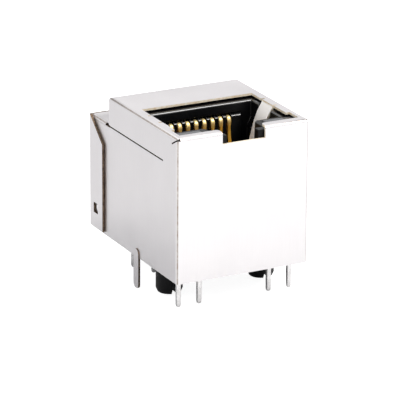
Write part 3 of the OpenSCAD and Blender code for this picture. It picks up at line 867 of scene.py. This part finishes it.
def chip(node, body_finish, axis):
    """A block along X or Y: the section is cap_step fatter over the tinned ends, and it is drawn
    in by end_insets at the outer corners."""
    lo, hi = box_in_mm(node)
    length = hi[axis] - lo[axis]
    cap = cap_share * length
    start = [0, corner_step, 2 * corner_step, cap, cap + cap_step]
    at = np.array(start + [length - d for d in start[::-1]])
    inset = np.array(end_insets + end_insets[::-1])
    count = len(at)
    path = along_path((lo + hi) / 2, count)
    path[:, axis] = lo[axis] + at
    cross = 1 - axis
    side = np.zeros((count, 3))
    side[:, cross] = 1 if axis == 0 else -1
    half = [(hi[k] - lo[k]) / 2 - inset for k in (cross, 2)]
    points = swept(path, side, along_path([0, 0, 1], count), block_section, *half) * MM
    faces = swept_faces(*points.shape[:2])
    tinned = np.ones(len(faces), bool)
    tinned[3 * len(block_section):5 * len(block_section)] = False
    make_piece(node + "_chip", points, faces, [body_finish, dipped_tin], [node], tinned)


welded_copy("magnetics_board", "magnetics_board_laminate", [green_board], 0.03)
for i in range(1, 5):
    chip("line_resistor_%d" % i, resistor_black, 0)
chip("isolation_capacitor", capacitor_tan, 1)

# %% [markdown]
# ## Floor, room and lamps
#
# The object stands on its pins on a white floor in a white room. The floor is a wide matt sheet.
# For the camera it glows, so it reads as plain white and keeps only a faint shadow. For
# reflections it glows more in front of the object than behind it, because the key lamp hangs in
# front; so the front of the metal box looks white and its left side grey.

# %% Floor finish
camera_glow = 0.9
front_way, glow_behind, glow_in_front = (-0.2, -0.98, 0), 0.04, 0.345
glow_from, glow_to = -0.006, 0.03


def floor_finish():
    """Matt paper plus a glow: camera_glow for the camera, 1 through clear resin, and for mirror
    rays a value that rises with the distance to the front, the dot product with front_way."""
    finish, tree, shader, coords = new_finish("white_floor", Roughness=0.9)
    paper = placed(tree, drift, coords, Scale=4.0)
    grey = mixed(tree, paper, (0.715, 0.715, 0.715), (0.735, 0.735, 0.735))
    tree.links.new(grey, shader.inputs["Base Color"])
    rays = add(tree, "ShaderNodeLightPath").outputs
    ahead = add(tree, "ShaderNodeVectorMath", [(0, coords)], operation="DOT_PRODUCT")
    ahead.inputs[1].default_value = front_way
    bright = ranged(tree, ahead.outputs["Value"], glow_behind, glow_in_front, glow_from, glow_to)
    seen = worked_out(tree, "MULTIPLY", rays["Is Camera Ray"], camera_glow)
    mirrored = worked_out(tree, "MULTIPLY", rays["Is Glossy Ray"], bright)
    glow = worked_out(tree, "ADD", seen, mirrored)
    glow = worked_out(tree, "MAXIMUM", glow, rays["Is Transmission Ray"])
    light = add(tree, "ShaderNodeEmission", [("Strength", glow)], in_Color=(1, 1, 1, 1))
    both = add(tree, "ShaderNodeAddShader",
               [(0, shader.outputs["BSDF"]), (1, light.outputs["Emission"])])
    tree.links.new(both.outputs["Shader"], tree.nodes["Material Output"].inputs["Surface"])
    return finish


white_floor = floor_finish()
print("made", white_floor.name)

# %% Lay the floor
floor_reach, floor_points = 2, 9
reach = np.linspace(-floor_reach, floor_reach, floor_points)
gx, gy = np.meshgrid(reach, reach, indexing="ij")
floor_xyz = np.stack([gx.ravel(), gy.ravel(), np.full(gx.size, low[2])], -1)
steps = np.arange(floor_points - 1)
corner = (steps[:, None] * floor_points + steps).ravel()
squares = np.stack([corner, corner + floor_points, corner + floor_points + 1, corner + 1], -1)
floor_mesh = bpy.data.meshes.new("floor")
floor_mesh.from_pydata(floor_xyz.tolist(), [], squares.tolist())
floor_mesh.materials.append(white_floor)
floor = bpy.data.objects.new("floor", floor_mesh)
scene.collection.objects.link(floor)
print("floor at", round(low[2] / MM, 2), "mm")

# %% Room
world = bpy.data.worlds.new("white_room")
world.use_nodes = True
scene.world = world
tree = world.node_tree
tree.nodes.clear()
rays = add(tree, "ShaderNodeLightPath").outputs
seen = worked_out(tree, "MAXIMUM", rays["Is Camera Ray"], rays["Is Transmission Ray"])
seen = worked_out(tree, "MAXIMUM", seen, rays["Is Glossy Ray"])
room = add(tree, "ShaderNodeBackground", in_Color=(0.97, 0.98, 1.0, 1), in_Strength=0.75)
white = add(tree, "ShaderNodeBackground", in_Color=(1.0, 1.0, 1.0, 1), in_Strength=1.0)
both = add(tree, "ShaderNodeMixShader",
           [(0, seen), (1, room.outputs["Background"]), (2, white.outputs["Background"])])
add(tree, "ShaderNodeOutputWorld", [("Surface", both.outputs["Shader"])])
print("room ready:", world.name)

# %% Lamps
def lamp(name, azimuth, elevation, distance, size, power, tone=(1, 1, 1)):
    """A square area lamp at an angle and a distance from the middle of the object, facing it."""
    a, e = math.radians(azimuth), math.radians(elevation)
    away = np.array([math.sin(a) * math.cos(e), -math.cos(a) * math.cos(e), math.sin(e)])
    data = bpy.data.lights.new(name, "AREA")
    data.size, data.energy, data.color = size, power, tone
    item = bpy.data.objects.new(name, data)
    item.location = Vector((low + high) / 2 + away * distance)
    item.rotation_euler = Vector(away).to_track_quat("Z", "Y").to_euler()
    scene.collection.objects.link(item)


lamp("key_lamp", 47, 54, 0.5, 0.2, 1.55, (1.0, 0.98, 0.955))
lamp("fill_lamp", -60, 35, 0.6, 0.4, 0.35)
lamp("back_lamp", 170, 60, 0.6, 0.3, 0.4)

# %% [markdown]
# ## The solids' size
#
# Dressing the object must not change its size, so the box of the plain solids is printed.

# %% Print the solids' box
print("solids, mm: ", [round(v / MM, 3) for corner in cad_box for v in corner])
